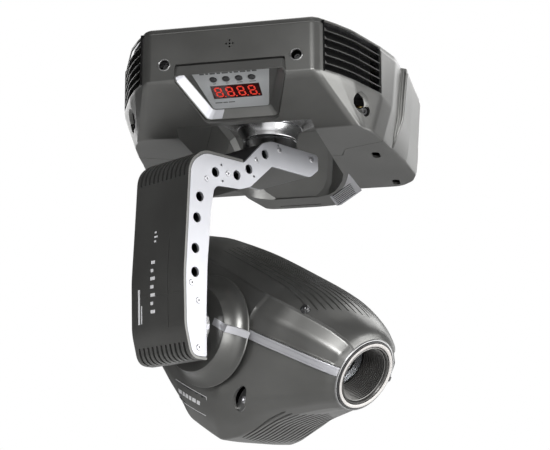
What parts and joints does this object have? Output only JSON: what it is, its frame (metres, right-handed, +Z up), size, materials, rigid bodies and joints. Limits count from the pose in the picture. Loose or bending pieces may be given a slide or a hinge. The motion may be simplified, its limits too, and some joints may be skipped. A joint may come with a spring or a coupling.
{
  "type": "moving head light",
  "caption": "Motorised moving head stage light hung from its base, with a one-sided zigzag arm that pans under the base and a head that tilts to aim the beam.",
  "frame": {"origin": "centre of the flat mounting face on top of the base, where the pan axis meets it", "axes": "+Z up out of the mounting face along the pan axis, -Y towards the control panel at the front, +X to the right seen from the front"},
  "size_m": [0.348, 0.4274, 0.4274],
  "materials": {
    "painted_shell": "satin graphite powder coat",
    "aluminium_plate": "fine brushed, clear anodised",
    "polished_aluminium": "turned and polished",
    "steel": "zinc plated",
    "black_metal": "matt black",
    "gloss_black": "gloss black",
    "black_plastic": "moulded",
    "label_grey": "printed film",
    "led_red": "tinted window",
    "glass": "coated optical glass",
    "filter_glass": "dichroic",
    "mirror": "cold mirror",
    "board": "solder mask",
    "rubber": "matt",
    "brass": "machined"
  },
  "bodies": {
    "base": {"base_front_cover": "painted_shell", "base_rear_cover": "painted_shell", "side_grille_right": "black_metal", "side_grille_left": "black_metal", "chassis_plate": "steel", "power_supply": "steel", "main_board": "board", "base_fan_frame": "black_plastic", "pan_motor": "black_metal", "pan_belt": "rubber", "pan_bearing": "steel", "turret_shroud": "gloss_black", "display_bezel": "painted_shell", "display_panel": "label_grey", "led_display": "led_red", "display_board": "board", "power_panel": "black_metal", "power_inlet": "black_plastic", "fuse_holder": "black_plastic", "data_panel": "black_metal", "data_in": "steel", "data_out": "steel"},
    "arm": {"arm_front_plate": "aluminium_plate", "arm_rear_plate": "aluminium_plate", "arm_outer_cover": "painted_shell", "arm_inner_cover": "painted_shell", "turret_collar": "polished_aluminium", "pan_pulley": "aluminium_plate", "tilt_motor": "black_metal", "tilt_belt": "rubber", "tilt_bearing": "polished_aluminium"},
    "head": {"head_upper_cover": "painted_shell", "head_lower_cover": "painted_shell", "head_frame": "aluminium_plate", "tilt_hub": "painted_shell", "far_side_cap": "painted_shell", "tilt_shaft": "steel", "lens_ring": "polished_aluminium", "lens_barrel": "gloss_black", "front_lens": "glass", "reflector": "mirror", "discharge_lamp": "glass", "lamp_holder": "steel", "heat_filter": "glass", "module_plate": "steel", "head_fan_frame": "black_plastic"},
    "menu_button_1": {"menu_button_1": "black_plastic"},
    "menu_button_2": {"menu_button_2": "black_plastic"},
    "menu_button_3": {"menu_button_3": "black_plastic"},
    "menu_button_4": {"menu_button_4": "black_plastic"},
    "power_switch": {"power_switch": "black_plastic"},
    "base_fan": {"base_fan_rotor": "black_plastic"},
    "pan_pinion": {"pan_motor_pulley": "brass"},
    "tilt_pinion": {"tilt_motor_pulley": "brass"},
    "colour_wheel": {"colour_wheel": "filter_glass"},
    "gobo_wheel": {"gobo_wheel": "steel"},
    "shutter_left": {"shutter_blade_left": "steel"},
    "shutter_right": {"shutter_blade_right": "steel"},
    "focus": {"focus_lens": "glass"},
    "head_fan": {"head_fan_rotor": "black_plastic"}
  },
  "joints": [
    {"name": "pan", "type": "hinge", "parent": "base", "child": "arm", "pos_m": [0, 0, 0], "axis": [0, 0, 1], "range_deg": [-238, 302]},
    {"name": "tilt", "type": "hinge", "parent": "arm", "child": "head", "pos_m": [0, 0, -0.312], "axis": [0.5299, 0.848, 0], "range_deg": [-76, 194]},
    {"name": "pan_pinion_spin", "type": "hinge", "parent": "base", "child": "pan_pinion", "pos_m": [0.108, 0.014, -0.029], "axis": [0, 0, 1], "continuous": true},
    {"name": "tilt_pinion_spin", "type": "hinge", "parent": "arm", "child": "tilt_pinion", "pos_m": [-0.08394, -0.13433, -0.214], "axis": [0.5299, 0.848, 0], "continuous": true},
    {"name": "base_fan_spin", "type": "hinge", "parent": "base", "child": "base_fan", "pos_m": [0.101, -0.119, -0.039], "axis": [0, 1, 0], "continuous": true},
    {"name": "head_fan_spin", "type": "hinge", "parent": "head", "child": "head_fan", "pos_m": [-0.10046, 0.06277, -0.23149], "axis": [0.7269, -0.4542, -0.515], "continuous": true},
    {"name": "colour_wheel_spin", "type": "hinge", "parent": "head", "child": "colour_wheel", "pos_m": [0.00196, -0.00122, -0.31747], "axis": [0.7269, -0.4542, -0.515], "continuous": true},
    {"name": "gobo_wheel_spin", "type": "hinge", "parent": "head", "child": "gobo_wheel", "pos_m": [0.00923, -0.00577, -0.32262], "axis": [0.7269, -0.4542, -0.515], "continuous": true},
    {"name": "shutter_left_swing", "type": "hinge", "parent": "head", "child": "shutter_left", "pos_m": [0.00542, 0.05085, -0.26765], "axis": [0.7269, -0.4542, -0.515], "range_deg": [-90, 0]},
    {"name": "shutter_right_swing", "type": "hinge", "parent": "head", "child": "shutter_right", "pos_m": [-0.04152, -0.0283, -0.26894], "axis": [0.7269, -0.4542, -0.515], "range_deg": [0, 90]},
    {"name": "focus_slide", "type": "slide", "parent": "head", "child": "focus", "axis": [0.7269, -0.4542, -0.515], "range_m": [-0.014, 0.014]},
    {"name": "power_switch_rock", "type": "hinge", "parent": "base", "child": "power_switch", "pos_m": [0.096, 0.128, -0.068], "axis": [1, 0, 0], "range_deg": [-10, 0]},
    {"name": "menu_button_1_press", "type": "slide", "parent": "base", "child": "menu_button_1", "axis": [0, 0.3987, 0.9171], "range_m": [0, 0.0008], "stiffness_N_per_m": 300, "springref_m": -0.0008},
    {"name": "menu_button_2_press", "type": "slide", "parent": "base", "child": "menu_button_2", "axis": [0, 0.3987, 0.9171], "range_m": [0, 0.0008], "stiffness_N_per_m": 300, "springref_m": -0.0008},
    {"name": "menu_button_3_press", "type": "slide", "parent": "base", "child": "menu_button_3", "axis": [0, 0.3987, 0.9171], "range_m": [0, 0.0008], "stiffness_N_per_m": 300, "springref_m": -0.0008},
    {"name": "menu_button_4_press", "type": "slide", "parent": "base", "child": "menu_button_4", "axis": [0, 0.3987, 0.9171], "range_m": [0, 0.0008], "stiffness_N_per_m": 300, "springref_m": -0.0008}
  ],
  "couplings": [
    {"joint": "pan_pinion_spin", "follows": "pan", "ratio": 4.8889},
    {"joint": "tilt_pinion_spin", "follows": "tilt", "ratio": 3.625},
    {"joint": "shutter_right_swing", "follows": "shutter_left_swing", "ratio": -1}
  ]
}
